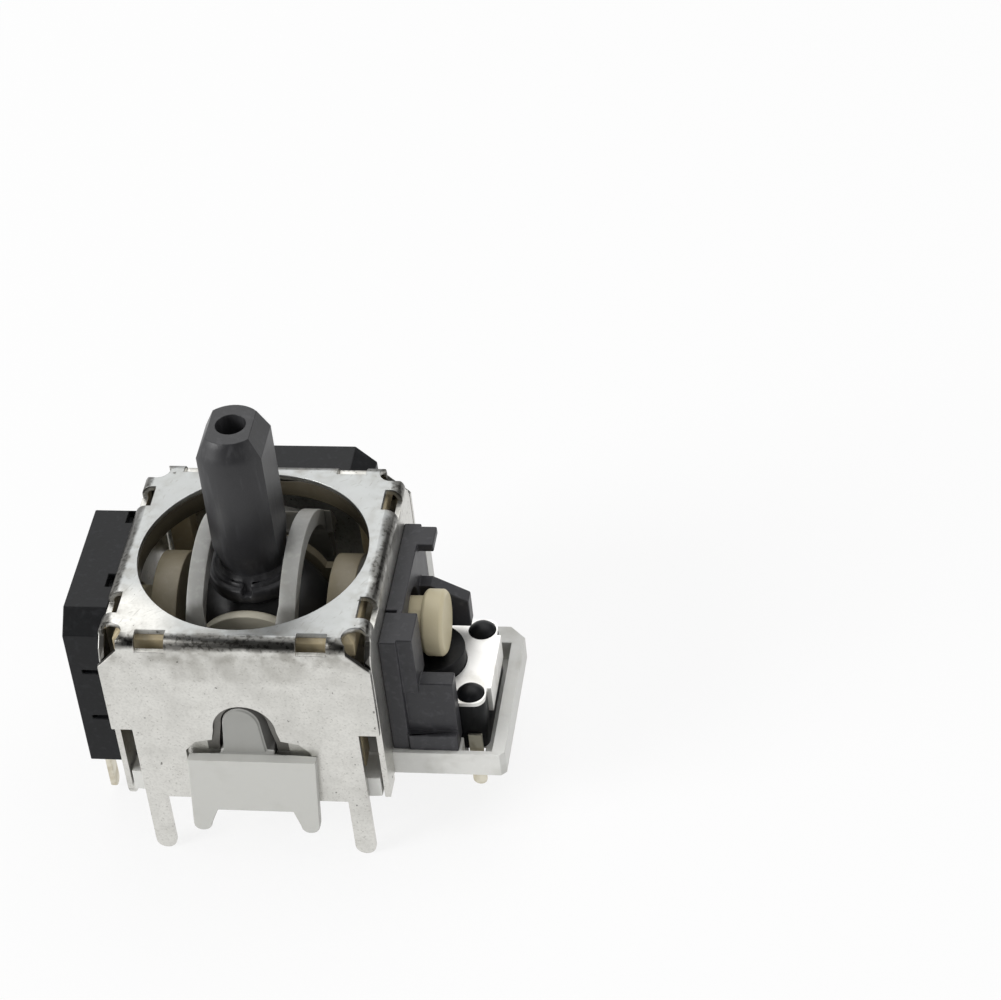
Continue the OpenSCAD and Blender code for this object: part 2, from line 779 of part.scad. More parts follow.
module centring_plate() {
    color(milky) {
        difference() {
            translate([0, 0, plate_under]) cylinder(h = plate_t, r = plate_r);
            for (turn = [0:3]) rotate([0, 0, 45 + 90 * turn]) translate([plate_r, 0, plate_under - cut])
                cylinder(h = plate_t + 2 * cut, r = 0.6);
        }
        translate([0, 0, plate_under - spigot_len]) cylinder(h = spigot_len + cut, d = spigot_d);
    }
}

// Round wire wound as a helix, with its ends on the well's floor and under the plate
module centring_spring() {
    steps = 20;
    sides = 8;
    rings = spring_turns * steps;
    low = well_floor + wire_d / 2 + run_gap;
    rise = plate_under - run_gap - wire_d / 2 - low;
    points = [for (ring = [0:rings]) let (turn = 360 * ring / steps, z = low + rise * ring / rings)
        for (side = [0:sides - 1]) let (a = 360 * side / sides, r = spring_d / 2 + wire_d / 2 * cos(a))
            [r * cos(turn), r * sin(turn), z + wire_d / 2 * sin(a)]];
    skin = [for (ring = [0:rings - 1]) for (side = [0:sides - 1]) let (next = (side + 1) % sides)
        [ring * sides + side, (ring + 1) * sides + side, (ring + 1) * sides + next, ring * sides + next]];
    ends = [[for (side = [0:sides - 1]) side],
        [for (side = [sides - 1:-1:0]) rings * sides + side]];
    color(steel) polyhedron(points = points, faces = concat(skin, ends));
}

// Potentiometers, built at the rear wall

module pot_outline() {
    half = pot_w / 2;
    polygon([[-half, pot_bottom], [half, pot_bottom], [half, pot_top - pot_chamfer],
        [half - pot_chamfer, pot_top], [-half + pot_chamfer, pot_top], [-half, pot_top - pot_chamfer]]);
}

module cavity_outline(play) {
    translate([0, pivot_z]) circle(r = cavity_r + play);
    translate([-board_half - play, board_low - play])
        square([2 * (board_half + play), pivot_z - board_low]);
}

module pot_housing() {
    slit_deep = 0.25;
    slit_h = 0.22;
    slit_len = 1.6;
    slot_start = wall + 0.5;
    color(black) difference() {
        along_y(wall, pot_face) pot_outline();
        along_y(wall - cut, cavity_end) cavity_outline(lay_gap);
        rod_y(wall, pot_face + cut, rotor_face_r + lay_gap);
        rod_y(pot_face - 0.15, pot_face + cut, rotor_face_r + 0.35);
        // Shallow step under the rotor
        block([-pot_w / 2 + 0.9, pot_face - 0.15, pot_bottom - cut], [pot_w / 2 - 0.9, pot_face + cut, 2.0]);
        // Grooves for the terminals, open on the outer face
        for (slot = [-1:1]) translate([slot * terminal_pitch - terminal_w / 2 - run_gap, slot_start, -cut])
            cube([terminal_w + 2 * run_gap, pot_face - slot_start + cut, terminal_bar_z + 0.45]);
        // Slits in both ends
        for (side = [-1, 1]) for (z = [3.32, 6.37])
            translate([side * (pot_w / 2 - slit_deep / 2), wall + slit_len / 2 - cut, z])
                cube([slit_deep + cut, slit_len + 2 * cut, slit_h], center = true);
    }
}

module pot_track_board() {
    color("#6B4A2E") along_y(wall, board_face_y) difference() {
        cavity_outline(-lay_gap);
        translate([0, pivot_z]) circle(r = tail_d / 2 + swing_gap + run_gap);
    }
}

module pot_wiper() {
    inside = 1.75;
    color(brass) {
        along_y(wiper_start, flange_start) translate([0, pivot_z]) difference() {
            circle(r = rotor_flange_r - 0.15);
            circle(r = inside);
            for (side = [-1, 1]) translate([side * 2.5, -1.2]) square([0.22, 2.4], center = true);
        }
        for (side = [-1, 1]) translate([side * 2.5, 0, 1.0])
            rod_y(board_face_y + run_gap, wiper_start + cut, 0.3);
    }
}

module pot_rotor() {
    cross_deep = 0.6;
    window_in = 1.75;
    window_out = 2.35;
    color("#3A3A3E") difference() {
        union() {
            rod_y(flange_start, flange_end, rotor_flange_r);
            rod_y(flange_end - cut, rotor_face, rotor_face_r);
            rod_y(board_face_y + lay_gap, flange_start + cut, tail_d / 2 + 0.55);
        }
        translate([0, board_face_y, pivot_z]) rotate([-90, 0, 0])
            keyed_rod(tail_end - board_face_y + lay_gap, tail_d + 2 * run_gap, tail_flats + 2 * run_gap);
        translate([0, rotor_face - cross_deep / 2, pivot_z]) {
            cube([cross_len, cross_deep + cut, cross_w], center = true);
            cube([cross_w, cross_deep + cut, cross_len], center = true);
        }
        for (side = [0, 1]) translate([0, flange_start - cut, pivot_z]) rotate([-90, 180 * side, 0])
            rotate([0, 0, -50]) rotate_extrude(angle = 100)
                translate([window_in, 0]) square([window_out - window_in, rotor_face - flange_start + 1]);
    }
}

module pot_terminal(slot) {
    bar_t = terminal_t;
    color(pale_tin) translate([slot * terminal_pitch, 0, 0]) {
        block([-terminal_w / 2, board_face_y, terminal_bar_z],
            [terminal_w / 2, terminal_y + terminal_t, terminal_bar_z + bar_t]);
        along_y(terminal_y, terminal_y + terminal_t) {
            translate([-terminal_w / 2, -terminal_reach + terminal_w / 2])
                square([terminal_w, terminal_reach - terminal_w / 2 + terminal_bar_z + bar_t]);
            translate([0, -terminal_reach + terminal_w / 2]) circle(d = terminal_w);
        }
    }
}

module rear_housing() { pot_housing(); }
module rear_terminal_1() { pot_terminal(-1); }
module rear_terminal_2() { pot_terminal(0); }
module rear_terminal_3() { pot_terminal(1); }
module left_terminal_1() { at_left() pot_terminal(-1); }
module left_terminal_2() { at_left() pot_terminal(0); }
module left_terminal_3() { at_left() pot_terminal(1); }
module rear_track_board() { pot_track_board(); }
module rear_rotor() { pot_rotor(); }
module rear_wiper() { pot_wiper(); }
module left_housing() {
    notch_w = 0.9;
    notch_deep = 0.45;
    at_left() difference() {
        pot_housing();
        // Two notches in the top, beside the wall
        for (x = [-1.6, 3.1]) translate([x - notch_w / 2, wall - cut, pot_top - notch_deep])
            cube([notch_w, notch_deep + cut, notch_deep + cut]);
    }
}
module left_track_board() { at_left() pot_track_board(); }
module left_rotor() { at_left() pot_rotor(); }
module left_wiper() { at_left() pot_wiper(); }

// Push switch

module switch_outline() {
    straight = switch_half - switch_corner_r;
    square([2 * straight, switch_w], center = true);
    square([switch_w, 2 * straight], center = true);
    for (x = [-1, 1]) for (y = [-1, 1]) translate([x * straight, y * straight]) circle(r = switch_corner_r);
}

module domed_post(h) {
    dome_r = 0.8;
    intersection() {
        cylinder(h = h, d = post_d);
        translate([0, 0, h - dome_r]) sphere(r = dome_r);
    }
    cylinder(h = h / 2, d = post_d);
}

module switch_body() {
    color(black) translate([switch_x, 0, 0]) {
        difference() {
            translate([0, 0, switch_bottom]) linear_extrude(cover_under - switch_bottom) switch_outline();
            translate([0, 0, dome_floor]) cylinder(h = 4, r = well_in_r);
        }
        for (x = [-1, 1]) for (y = [-1, 1]) translate([x * post_at, y * post_at, cover_under - cut])
            domed_post(cover_t + post_up + cut);
    }
}

module switch_cover() {
    tab_half = 1.9;
    tab_drop = 1.5;
    color(pale_tin) translate([switch_x, 0, cover_under]) difference() {
        union() {
            linear_extrude(cover_t) switch_outline();
            // Tab folded down the outer side
            block([switch_half - cut, -tab_half, 0], [switch_half + cover_t, tab_half, cover_t]);
            translate([switch_half, -tab_half, cover_t - tab_drop]) cube([cover_t, 2 * tab_half, tab_drop]);
        }
        translate([0, 0, -cut]) cylinder(h = 1, r = plunger_d / 2 + lay_gap / 2);
        for (x = [-1, 1]) for (y = [-1, 1]) translate([x * post_at, y * post_at, -cut])
            cylinder(h = 1, r = post_d / 2 + run_gap);
    }
}

module switch_plunger() {
    color(black) translate([switch_x, 0, 0]) {
        translate([0, 0, cover_under - run_gap - flange_t])
            cylinder(h = flange_t, r = plunger_d / 2 + swing_gap);
        translate([0, 0, cover_under - run_gap - cut]) cylinder(h = plunger_top - cover_under + run_gap + cut,
            r = plunger_d / 2);
        translate([0, 0, stub_low]) cylinder(h = stub_len + cut, r = 0.7);
    }
}

// Shallow snap dome on the switch's floor
module switch_dome() {
    dome_r = plunger_d / 2 - run_gap;
    ball_r = (dome_r * dome_r + dome_rise * dome_rise) / (2 * dome_rise);
    color(pale_tin) translate([switch_x, 0, 0]) intersection() {
        translate([0, 0, dome_floor + dome_rise - ball_r]) difference() {
            sphere(r = ball_r);
            sphere(r = ball_r - 0.1);
        }
        translate([0, 0, dome_floor]) cylinder(h = dome_rise + 1, r = dome_r);
    }
}

module switch_terminal(x, y) {
    w = switch_pin_w;
    t = switch_pin_t;
    from = y > 0 ? switch_half : -switch_half - t;
    color(pale_tin) translate([switch_x + x * pin_at, 0, 0]) along_y(from, from + t) {
        translate([-w / 2, -switch_pin_reach + w / 2]) square([w, switch_pin_reach - w / 2 + tray_h - 0.1]);
        translate([0, -switch_pin_reach + w / 2]) circle(d = w);
    }
}

module switch_terminal_1() { switch_terminal(-1, -1); }
module switch_terminal_2() { switch_terminal(1, -1); }
module switch_terminal_3() { switch_terminal(-1, 1); }
module switch_terminal_4() { switch_terminal(1, 1); }

// Bracket on the right wall

module front_guard() {
    flange_h = 1.0;
    front = guard_in + guard_depth;
    block([bracket_face - cut, -front, tray_h], [wall + guard_out, -guard_in, front_guard_top]);
    block([bracket_face - cut, -front - 0.4, tray_h], [wall + guard_out, -guard_in, tray_h + flange_h]);
}

module rear_guard() {
    near = disc_d / 2 + push_travel;
    drop = 1.0;
    under = switch_top + post_up + swing_gap;
    along_y(near, near + rear_guard_t) polygon([[bracket_face - cut, under], [wall + guard_out, under],
        [wall + guard_out, rear_guard_top - drop], [bracket_face + 0.6, rear_guard_top],
        [bracket_face - cut, rear_guard_top]]);
}

module switch_bracket() {
    front_end = bracket_half - 0.2;
    hook_in = bracket_half - 1.6;
    hook_h = 0.45;
    color(dark_grey) difference() {
        union() {
            block([wall, -bracket_half, tray_h], [bracket_face, bracket_half, bracket_top]);
            block([bracket_face - cut, -front_end, front_guard_top - 0.5],
                [wall + block_out, -front_end + 2.0, bracket_top]);
            block([bracket_face - cut, hook_in, bracket_top - hook_h],
                [wall + block_out + 0.05, bracket_half - 0.2, bracket_top]);
            front_guard();
            rear_guard();
        }
        rod_x(wall - cut, bracket_face + cut, arm_hole_r);
        block([wall - cut, -arm_hole_r, 0], [bracket_face + cut, arm_hole_r, pivot_z]);
        block([wall - cut, -guard_in, 0], [bracket_face + cut, guard_in, switch_top + post_up + swing_gap]);
        // Slit behind the front block
        block([wall - cut, -front_end + 2.0, bracket_top - 0.4],
            [bracket_face - 0.3, -front_end + 2.15, bracket_top + cut]);
    }
}

frame();
base();
switch_bracket();
bearing_ring();
lever();
lever_pin();
cross_shaft();
upper_yoke();
centring_plate();
centring_spring();
left_housing();
left_track_board();
left_rotor();
left_wiper();
left_terminal_1();
left_terminal_2();
left_terminal_3();
rear_housing();
rear_track_board();
rear_rotor();
rear_wiper();
rear_terminal_1();
rear_terminal_2();
rear_terminal_3();
switch_body();
switch_cover();
switch_plunger();
switch_dome();
switch_terminal_1();
switch_terminal_2();
switch_terminal_3();
switch_terminal_4();
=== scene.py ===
"""Dresses the two-axis analog stick module and lights it as in the photograph.

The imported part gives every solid. This script rounds their edges, gives each one the finish of the
real material, adds the fine pieces that the solids leave out, and sets the camera, floor and lights.
Lengths named _mm are millimetres and are turned to metres where a mesh or a node is made.
"""

from __future__ import annotations

import logging
import math
import random
from dataclasses import dataclass, field
from enum import Enum
from typing import Any, Mapping, Sequence

import bmesh
import bpy
from mathutils import Matrix, Vector

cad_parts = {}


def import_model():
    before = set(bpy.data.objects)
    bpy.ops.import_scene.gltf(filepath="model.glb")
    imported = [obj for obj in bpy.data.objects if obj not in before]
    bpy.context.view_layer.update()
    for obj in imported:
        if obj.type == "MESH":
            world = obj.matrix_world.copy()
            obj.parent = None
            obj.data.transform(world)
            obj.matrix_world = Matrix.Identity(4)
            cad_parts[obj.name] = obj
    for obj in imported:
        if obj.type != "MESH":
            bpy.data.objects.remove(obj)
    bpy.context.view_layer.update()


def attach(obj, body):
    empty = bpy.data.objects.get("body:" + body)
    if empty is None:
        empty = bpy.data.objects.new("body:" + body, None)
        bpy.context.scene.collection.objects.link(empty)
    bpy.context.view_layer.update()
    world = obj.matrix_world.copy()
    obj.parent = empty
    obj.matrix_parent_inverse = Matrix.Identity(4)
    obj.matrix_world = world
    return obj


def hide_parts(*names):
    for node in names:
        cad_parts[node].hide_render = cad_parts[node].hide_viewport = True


LOG = logging.getLogger("stick_module")
MM = 0.001
RANDOM_SEED = 7

Node = bpy.types.Node
Socket = bpy.types.NodeSocket
Point = tuple[float, float, float]


# Colours, nodes and meshes


def linear(hex_colour: str) -> tuple[float, float, float, float]:
    """Turn an sRGB hex value into the linear colour that a shader takes.

    Args:
        hex_colour: Six hex digits with a leading sign, as in #C0C0C0.

    Returns:
        Linear red, green and blue, and an alpha of 1.
    """
    parts = [int(hex_colour[i : i + 2], 16) / 255 for i in (1, 3, 5)]
    red, green, blue = (p / 12.92 if p <= 0.04045 else ((p + 0.055) / 1.055) ** 2.4 for p in parts)
    return (red, green, blue, 1.0)


def per_metre(feature_mm: float) -> float:
    """Give the texture scale, in metres, at which a pattern's features are this many millimetres."""
    return 1.0 / (feature_mm * MM)


def add_node(
    tree: bpy.types.NodeTree,
    kind: str,
    settings: Mapping[str, Any] | None = None,
    inputs: Mapping[str | int, Any] | None = None,
) -> Node:
    """Add a shader node with its settings and links.

    Args:
        tree: Node tree that takes the node.
        kind: Blender's type name without its ShaderNode prefix.
        settings: Properties of the node itself.
        inputs: Input sockets by name or place, each a value or the output socket to link.

    Returns:
        The new node.
    """
    node = tree.nodes.new("ShaderNode" + kind)
    for name, value in (settings or {}).items():
        setattr(node, name, value)
    for name, value in (inputs or {}).items():
        if isinstance(value, bpy.types.NodeSocket):
            tree.links.new(value, node.inputs[name])
        else:
            node.inputs[name].default_value = value
    return node


def new_object(name: str, mesh: bpy.types.Mesh) -> bpy.types.Object:
    """Link a mesh into the scene under a name, in the part's frame."""
    obj = bpy.data.objects.new(name, mesh)
    bpy.context.scene.collection.objects.link(obj)
    return obj


def mesh_from(name: str, points: Sequence[Point], faces: Sequence[Sequence[int]]) -> bpy.types.Mesh:
    """Make a mesh from points in millimetres and faces, with its normals turned outwards."""
    mesh = bpy.data.meshes.new(name)
    mesh.from_pydata([tuple(c * MM for c in p) for p in points], [], [tuple(f) for f in faces])
    work = bmesh.new()
    work.from_mesh(mesh)
    bmesh.ops.recalc_face_normals(work, faces=work.faces)
    work.to_mesh(mesh)
    work.free()
    return mesh


# Finishes


class Slot(Enum):
    """The record's material slots."""

    TINNED_STEEL = "tinned_steel"
    LIGHT_GREY = "light_grey_plastic"
    DARK_GREY = "dark_grey_plastic"
    BEIGE = "beige_plastic"
    MILKY = "milky_plastic"
    BLACK = "black_plastic"
    STEEL = "steel"
    BRASS = "brass"
    TRACK_BOARD = "track_board"
    TIN_PLATED = "tin_plated"


@dataclass(frozen=True)
class Finish:
    """What all the finishes share: a shader on the part's own coordinates."""

    name: str
    slot: Slot
    colour: str
    roughness: float

    def material(self) -> bpy.types.Material:
        """Build the material once and hand out the same one afterwards."""
        made = bpy.data.materials.get(self.name)
        if made is not None:
            return made
        made = bpy.data.materials.new(self.name)
        made.use_nodes = True
        tree = made.node_tree
        tree.nodes.clear()
        place = add_node(tree, "TexCoord").outputs["Object"]
        shader = self.shader(tree, place)
        add_node(tree, "OutputMaterial", inputs={"Surface": shader.outputs[0]})
        return made

    def shader(self, tree: bpy.types.NodeTree, place: Socket) -> Node:
        """Build the surface from the coordinates. Each finish has its own."""
        raise NotImplementedError


def noise(tree: bpy.types.NodeTree, place: Socket, feature_mm: float, detail: float = 3.0) -> Socket:
    """Add a noise whose features have this size and return its value, which runs from 0 to 1."""
    node = add_node(
        tree, "TexNoise", inputs={"Vector": place, "Scale": per_metre(feature_mm), "Detail": detail}
    )
    return node.outputs[0]


def stretched(tree: bpy.types.NodeTree, place: Socket, scale: Point) -> Socket:
    """Scale the coordinates by axis, so that a pattern runs along the axis with the small scale."""
    node = add_node(tree, "Mapping", inputs={"Vector": place, "Scale": scale})
    return node.outputs[0]


def step_between(tree: bpy.types.NodeTree, value: Socket, low: float, high: float) -> Socket:
    """Map a value smoothly from 0 at low to 1 at high."""
    node = add_node(
        tree,
        "MapRange",
        {"interpolation_type": "SMOOTHSTEP"},
        {"Value": value, "From Min": low, "From Max": high, "To Min": 0.0, "To Max": 1.0},
    )
    return node.outputs[0]


def spread(tree: bpy.types.NodeTree, value: Socket, low: float, high: float) -> Socket:
    """Map a value that runs from 0 to 1 onto low to high."""
    node = add_node(tree, "MapRange", inputs={"Value": value, "To Min": low, "To Max": high})
    return node.outputs[0]


def combine(tree: bpy.types.NodeTree, operation: str, first: Any, second: Any) -> Socket:
    """Join two values by one of the Math node's operations."""
    return add_node(tree, "Math", {"operation": operation}, {0: first, 1: second}).outputs[0]


def blend_colours(tree: bpy.types.NodeTree, share: Socket, under: Any, over: Any) -> Socket:
    """Mix two colours by a share from 0 to 1 and return the colour."""
    node = add_node(tree, "Mix", {"data_type": "RGBA"}, {0: share, 6: under, 7: over})
    return node.outputs[2]


def bump(tree: bpy.types.NodeTree, height: Socket, depth_mm: float) -> Socket:
    """Turn a height that runs from 0 to 1 into a normal, for a relief of this depth."""
    node = add_node(tree, "Bump", inputs={"Height": height, "Strength": 1.0, "Distance": depth_mm * MM})
    return node.outputs[0]


@dataclass(frozen=True)
class Patch:
    """A box in which a finish turns towards another colour, with soft edges."""

    low_mm: Point
    high_mm: Point
    colour: str
    share: float
    edge_mm: float = 0.06
    both_sides: bool = False

    def mask(self, tree: bpy.types.NodeTree, place: Socket) -> Socket:
        """Give the share inside the box and 0 outside it, on all four sides where both_sides is set."""
        axes = add_node(tree, "SeparateXYZ", inputs={0: place}).outputs
        inside: Any = self.share
        for i, (low, high) in enumerate(zip(self.low_mm, self.high_mm)):
            axis = combine(tree, "ABSOLUTE", axes[i], 0.0) if self.both_sides and i < 2 else axes[i]
            rise = step_between(tree, axis, (low - self.edge_mm) * MM, (low + self.edge_mm) * MM)
            fall = step_between(tree, axis, (high + self.edge_mm) * MM, (high - self.edge_mm) * MM)
            inside = combine(tree, "MULTIPLY", combine(tree, "MULTIPLY", rise, fall), inside)
        return inside


@dataclass(frozen=True)
class MouldedPlastic(Finish):
    """Injection-moulded engineering plastic: satin, with the mould's fine spark-eroded grain.

    The grain breaks a highlight into a soft sheen. Handling leaves lighter scuffs and darker dirt.
    Near the lever's axis and under the frame's top, a darker colour paints both the damping grease
    and the shade that falls inside the frame.
    """

    scuff: str = "#808080"
    dirt: str = "#202020"
    scuff_share: float = 0.35
    dirt_share: float = 0.3
    grain_mm: float = 0.09
    grain_depth_mm: float = 0.004
    streak: Point = (1.0, 1.0, 1.0)
    ior: float = 1.5
    specular: float = 0.4
    # The grease colour below is also painted shade, for the parts near the axis under the frame's top.
    grease_and_shade: str = "#2B2720"
    grease_and_shade_share: float = 0.0
    grease_and_shade_r_mm: float = 5.85
    grease_and_shade_top_mm: float = 10.2
    patches: Sequence[Patch] = ()

    def shader(self, tree: bpy.types.NodeTree, place: Socket) -> Node:
        """Grain, scuffs and dirt over one moulded colour."""
        clouds = noise(tree, place, 1.6)
        marks = noise(tree, stretched(tree, place, self.streak), 0.35, 4.0)
        grain = noise(tree, place, self.grain_mm, 2.0)
        scuffed = combine(tree, "MULTIPLY", step_between(tree, marks, 0.5, 0.72), self.scuff_share)
        dirty = combine(tree, "MULTIPLY", step_between(tree, clouds, 0.5, 0.75), self.dirt_share)
        colour = blend_colours(tree, scuffed, linear(self.colour), linear(self.scuff))
        colour = blend_colours(tree, dirty, colour, linear(self.dirt))
        if self.grease_and_shade_share > 0:
            # Grease film and painted shade near the lever's axis, under the frame's top.
            grease_and_shade_film = combine(tree, "MULTIPLY", self.grease_and_shade_mask(tree, place, clouds), self.grease_and_shade_share)
            colour = blend_colours(tree, grease_and_shade_film, colour, linear(self.grease_and_shade))
        for patch in self.patches:
            colour = blend_colours(tree, patch.mask(tree, place), colour, linear(patch.colour))
        rough = spread(tree, marks, self.roughness - 0.08, self.roughness + 0.1)
        return add_node(
            tree,
            "BsdfPrincipled",
            inputs={
                "Base Color": colour,
                "Roughness": rough,
                "IOR": self.ior,
                "Specular IOR Level": self.specular,
                "Normal": bump(tree, grain, self.grain_depth_mm),
            },
        )

    def grease_and_shade_mask(self, tree: bpy.types.NodeTree, place: Socket, clouds: Socket) -> Socket:
        """Give 1 for grease and painted shade: near the lever's axis and under the top of the frame."""
        axes = add_node(tree, "SeparateXYZ", inputs={0: place}).outputs
        flat = add_node(tree, "CombineXYZ", inputs={0: axes[0], 1: axes[1]}).outputs[0]
        radius = add_node(tree, "VectorMath", {"operation": "LENGTH"}, {0: flat}).outputs["Value"]
        uneven = combine(tree, "MULTIPLY", clouds, 0.5 * MM)
        near = step_between(
            tree,
            combine(tree, "ADD", radius, uneven),
            (self.grease_and_shade_r_mm + 0.4) * MM,
            (self.grease_and_shade_r_mm + 0.2) * MM,
        )
        top = self.grease_and_shade_top_mm * MM
        low = step_between(tree, combine(tree, "ADD", axes[2], uneven), top + 0.5 * MM, top + 0.1 * MM)
        return combine(tree, "MULTIPLY", near, low)


@dataclass(frozen=True)
class MilkyAcetal(MouldedPlastic):
    """Natural acetal moulded thin: white and waxy, and light goes a little way into it."""

    depth_mm: float = 0.6
    through: float = 0.35

    def shader(self, tree: bpy.types.NodeTree, place: Socket) -> Node:
        """The moulded finish with light scattered under the surface."""
        node = super().shader(tree, place)
        node.inputs["Subsurface Weight"].default_value = self.through
        node.inputs["Subsurface Radius"].default_value = (1.0, 0.95, 0.85)
        node.inputs["Subsurface Scale"].default_value = self.depth_mm * MM
        return node


@dataclass(frozen=True)
class TinnedSheet(Finish):
    """Cold-rolled steel sheet, tin plated and then pressed.

    The tin gives the flats a pale satin look with a fine mottle. The press tools burnish the four
    bends, so they are smoother, and their darker colour is burnish and a painted dark reflection.
    Handling leaves scratches, smudges and small pits. The top face has a painted darker reflection
    with a painted highlight on one corner, and the tongue's arch and the corner reliefs have painted shade.
    The mottle and the scratches are drawn about twice as coarse as they are, so that they show.
    """

    mottle: str = "#B9B8B3"
    smudge: str = "#86837B"
    # Bend colour: burnished tin with a painted dark reflection.
    burnished_and_dark_reflection: str = "#4C4A46"
    pit: str = "#33312D"
    bend_half_mm: float = 6.6
    bend_top_mm: float = 10.45
    bend_r_mm: float = 0.6
    smudge_low_mm: float = 8.4
    residue_box: Patch = Patch((-3.0, -7.0, 7.9), (3.5, -6.3, 9.6), "#86837B", 0.4, 0.3)
    # Painted shade on the cut edge round the tongue's arch.
    arch_edge_shade_box: Patch = Patch((-2.0, -6.585, 3.2), (2.0, -6.0, 6.9), "#4C4A46", 0.85, 0.01)
    # Painted shade in the corner reliefs of the top.
    corner_relief_shade_box: Patch = Patch((5.2, 5.2, 8.4), (6.54, 6.54, 10.1), "#4C4A46", 0.9, 0.03, both_sides=True)
    # Colour of the painted darker reflection on the top face; the corner left out of it is a painted highlight.
    tarnish_and_dull_reflection: str = "#AFB1B0"
    # Where the painted highlight on the top face lies, and how wide it is.
    highlight_corner_mm: Point = (-5.6, -5.6, 10.4)
    highlight_r_mm: float = 2.2

    def shader(self, tree: bpy.types.NodeTree, place: Socket) -> Node:
        """Satin tin with bends burnished and painted dark, a painted top reflection and highlight, painted shade,
        smudges, scratches and pits.
        """
        axes = add_node(tree, "SeparateXYZ", inputs={0: place}).outputs
        clouds = noise(tree, place, 1.1, 5.0)
        fine = noise(tree, place, 0.13, 3.0)
        specks = noise(tree, place, 0.2, 3.0)
        side = combine(
            tree,
            "MAXIMUM",
            combine(tree, "ABSOLUTE", axes[0], 0.0),
            combine(tree, "ABSOLUTE", axes[1], 0.0),
        )
        bend = self.on_bend(tree, side, axes[2], clouds)
        near_bend = combine(
            tree,
            "MULTIPLY",
            step_between(tree, axes[2], self.smudge_low_mm * MM, (self.smudge_low_mm + 1.5) * MM),
            step_between(tree, side, 4.8 * MM, 6.3 * MM),
        )
        # Blotches of the smudge colour, faint everywhere and stronger towards the bends.
        darker_towards_bends = combine(tree, "ADD", combine(tree, "MULTIPLY", near_bend, 0.6), 0.12)
        smudge = combine(tree, "MULTIPLY", step_between(tree, noise(tree, place, 0.7, 5.0), 0.38, 0.72), darker_towards_bends)
        speck = combine(tree, "MULTIPLY", step_between(tree, specks, 0.5, 0.62), bend)
        layers = (
            (step_between(tree, fine, 0.4, 0.7), 0.3, self.mottle),
            (step_between(tree, noise(tree, place, 2.6, 3.0), 0.4, 0.7), 0.35, self.mottle),
            # Painted darker reflection on the top face, with a painted highlight on one corner.
            (self.painted_top_reflection(tree, place, axes[2]), 1.0, self.tarnish_and_dull_reflection),
            (smudge, 0.9, self.smudge),
            (self.residue(tree, place), 1.0, self.smudge),
            # Painted shade in the corner reliefs.
            (self.corner_relief_shade_box.mask(tree, place), 1.0, self.burnished_and_dark_reflection),
            # Painted shade round the tongue's arch.
            (self.arch_edge_shade_box.mask(tree, place), 1.0, self.burnished_and_dark_reflection),
            (self.scratches(tree, place), 0.35, self.smudge),
            # Burnish and painted dark reflection on the bends.
            (bend, 0.8, self.burnished_and_dark_reflection),
            (speck, 0.7, self.pit),
            (step_between(tree, noise(tree, place, 0.35, 2.0), 0.72, 0.75), 0.7, self.pit),
        )
        colour: Any = linear(self.colour)
        for mask, share, over in layers:
            colour = blend_colours(tree, combine(tree, "MULTIPLY", mask, share), colour, linear(over))
        satin = spread(tree, clouds, self.roughness - 0.08, self.roughness + 0.12)
        rough = combine(tree, "SUBTRACT", satin, combine(tree, "MULTIPLY", bend, self.roughness * 0.15))
        relief = combine(tree, "ADD", combine(tree, "MULTIPLY", fine, 0.6), clouds)
        return add_node(
            tree,
            "BsdfPrincipled",
            inputs={
                "Base Color": colour,
                "Metallic": 1.0,
                "Roughness": rough,
                "Normal": bump(tree, relief, 0.008),
            },
        )

    def on_bend(self, tree: bpy.types.NodeTree, side: Socket, height: Socket, clouds: Socket) -> Socket:
        """Give 1 on the four bends between the top and the walls, with an uneven edge.

        Args:
            tree: The material's nodes.
            side: How far a point lies from the lever's axis, towards the nearest wall.
            height: How high it lies.
            clouds: Noise that moves the edge.
        """
        corner = combine(tree, "ADD", side, height)
        corner = combine(tree, "ADD", corner, combine(tree, "MULTIPLY", clouds, 0.5 * MM))
        flat_end = (self.bend_half_mm + self.bend_top_mm - self.bend_r_mm) * MM
        return step_between(tree, corner, flat_end + 0.2 * MM, flat_end + 0.45 * MM)

    def residue(self, tree: bpy.types.NodeTree, place: Socket) -> Socket:
        """Give the share of old glue, in soft upright streaks on the front wall's upper middle."""
        streaks = step_between(tree, noise(tree, stretched(tree, place, (1.0, 1.0, 0.35)), 0.8, 5.0), 0.2, 0.75)
        return combine(tree, "MULTIPLY", streaks, self.residue_box.mask(tree, place))

    def painted_top_reflection(self, tree: bpy.types.NodeTree, place: Socket, height: Socket) -> Socket:
        """Give 1 on the top face for a painted darker reflection, apart from one corner: a painted highlight."""
        corner = tuple(c * MM for c in self.highlight_corner_mm)
        away = add_node(tree, "VectorMath", {"operation": "DISTANCE"}, {0: place, 1: corner}).outputs["Value"]
        dull = step_between(tree, away, self.highlight_r_mm * 0.6 * MM, self.highlight_r_mm * 1.6 * MM)
        top = step_between(tree, height, (self.bend_top_mm - 0.2) * MM, (self.bend_top_mm - 0.05) * MM)
        return combine(tree, "MULTIPLY", dull, top)

    def scratches(self, tree: bpy.types.NodeTree, place: Socket) -> Socket:
        """Give 1 along fine lines in three directions."""
        lines: Any = 0.0
        for turn, low in ((0.3, 0.66), (1.2, 0.68), (2.3, 0.67)):
            turned = add_node(tree, "Mapping", inputs={"Vector": place, "Rotation": (turn, 0.4 * turn, turn)})
            drawn = stretched(tree, turned.outputs[0], (1.0, 0.05, 1.0))
            lines = combine(tree, "MAXIMUM", step_between(tree, noise(tree, drawn, 0.14, 2.0), low, low + 0.05), lines)
        return lines


